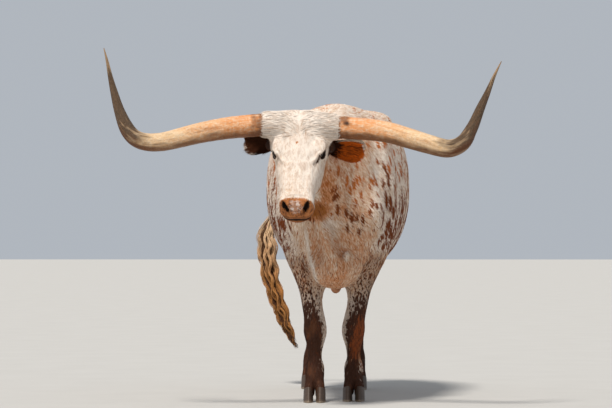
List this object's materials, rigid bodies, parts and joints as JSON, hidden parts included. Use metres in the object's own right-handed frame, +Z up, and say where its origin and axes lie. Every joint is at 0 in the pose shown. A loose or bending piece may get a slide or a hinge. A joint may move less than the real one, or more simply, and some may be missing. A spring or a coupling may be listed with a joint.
{
  "type": "texas longhorn steer",
  "caption": "Life-size still model of a standing horned steer with very long sideways horns, a speckled short coat, cupped ears and a wavy tail switch swung to one side.",
  "frame": {"origin": "centre of the bounding box, on the ground under the hooves", "axes": "+Z up, -Y the way the animal faces, +X its own left side"},
  "size_m": [1.8842, 2.4633, 1.7034],
  "materials": {
    "coat": "short flat hair, cream with red-brown speckles",
    "ear": "short hair, red-brown inside with a pale rim",
    "horn": "ribbed keratin, tan with darker tips, satin",
    "eye": "wet dark brown",
    "hoof": "dark keratin, matt with fine rings",
    "tail_hair": "long wavy hair, cream above and golden brown below"
  },
  "bodies": {
    "root": {"claw_a_fore_left": "hoof", "claw_a_fore_right": "hoof", "claw_a_hind_left": "hoof", "claw_a_hind_right": "hoof", "claw_b_fore_left": "hoof", "claw_b_fore_right": "hoof", "claw_b_hind_left": "hoof", "claw_b_hind_right": "hoof", "dewclaw_a_fore_left": "hoof", "dewclaw_a_fore_right": "hoof", "dewclaw_a_hind_left": "hoof", "dewclaw_a_hind_right": "hoof", "dewclaw_b_fore_left": "hoof", "dewclaw_b_fore_right": "hoof", "dewclaw_b_hind_left": "hoof", "dewclaw_b_hind_right": "hoof", "ear_left": "ear", "ear_right": "ear", "eye_left": "eye", "eye_right": "eye", "foreleg_left": "coat", "foreleg_right": "coat", "head": "coat", "hindleg_left": "coat", "hindleg_right": "coat", "horn_left": "horn", "horn_right": "horn", "neck": "coat", "tail_dock": "coat", "tail_switch": "tail_hair", "torso": "coat"}
  },
  "joints": []
}
